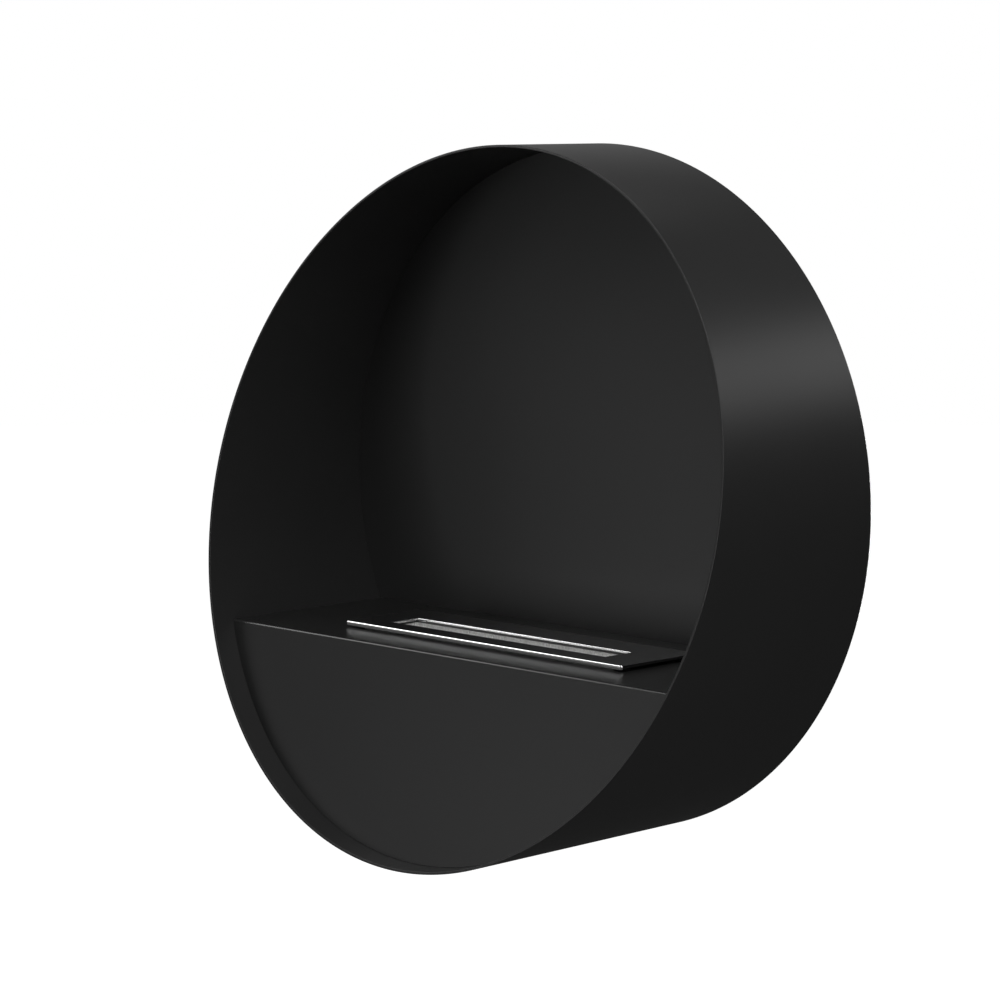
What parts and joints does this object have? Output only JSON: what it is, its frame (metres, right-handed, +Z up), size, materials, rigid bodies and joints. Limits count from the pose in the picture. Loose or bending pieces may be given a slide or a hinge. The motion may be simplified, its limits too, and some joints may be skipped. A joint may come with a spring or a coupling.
{
  "type": "bioethanol fireplace",
  "caption": "Wall-hung round drum fireplace in black steel with a leaning rim, a fire deck and a lift-out slot burner that a sliding damper shuts.",
  "frame": {"origin": "the drum's axis at the wall plane, in the middle of the four wall holes", "axes": "+X to the right seen from the front, +Y back to the wall, +Z up"},
  "size_m": [0.8, 0.345, 0.8],
  "materials": {
    "black_coat": "satin black heat-proof powder coat",
    "deck_coat": "satin black heat-proof powder coat, smoother on the deck",
    "panel_coat": "matt black powder coat",
    "zinc_steel": "bright zinc",
    "plain_steel": "cold-rolled stainless sheet",
    "rail_steel": "matt black",
    "bumper_rubber": "matt",
    "satin_steel": "satin brushed along the slot",
    "polished_steel": "polished",
    "mesh_steel": "woven wire",
    "wool": "ceramic fibre wool",
    "foot_rubber": "matt silicone",
    "dark_steel": "blackened"
  },
  "bodies": {
    "casing": {"drum_shell": "black_coat", "back_panel": "black_coat", "back_panel_tabs": "black_coat", "back_panel_studs": "zinc_steel", "back_panel_nuts": "zinc_steel", "fire_deck": "deck_coat", "deck_bracket_left": "black_coat", "deck_bracket_right": "black_coat", "deck_studs": "zinc_steel", "deck_nuts": "zinc_steel", "front_panel": "panel_coat", "front_panel_tabs": "black_coat", "front_panel_studs": "zinc_steel", "front_panel_nuts": "zinc_steel", "burner_well": "plain_steel", "well_studs": "zinc_steel", "well_nuts": "zinc_steel", "hanging_cleat_upper": "rail_steel", "hanging_cleat_lower": "rail_steel", "cleat_studs": "zinc_steel", "cleat_nuts": "zinc_steel", "wall_rail_upper": "rail_steel", "wall_rail_lower": "rail_steel", "wall_bumpers": "bumper_rubber"},
    "burner": {"burner_top_plate": "satin_steel", "slot_collar": "polished_steel", "plate_spacer": "plain_steel", "guide_left": "plain_steel", "guide_right": "plain_steel", "burner_tank": "plain_steel", "tank_lid": "plain_steel", "ceramic_wool": "wool", "mesh_frame": "mesh_steel", "wick_mesh": "mesh_steel", "burner_feet": "foot_rubber"},
    "damper": {"damper_plate": "dark_steel", "damper_tab": "satin_steel"}
  },
  "joints": [
    {"name": "burner_lift", "type": "slide", "parent": "casing", "child": "burner", "axis": [0, 0, 1], "range_m": [0, 0.09]},
    {"name": "damper_slide", "type": "slide", "parent": "burner", "child": "damper", "axis": [0, -1, 0], "range_m": [0, 0.04]}
  ]
}
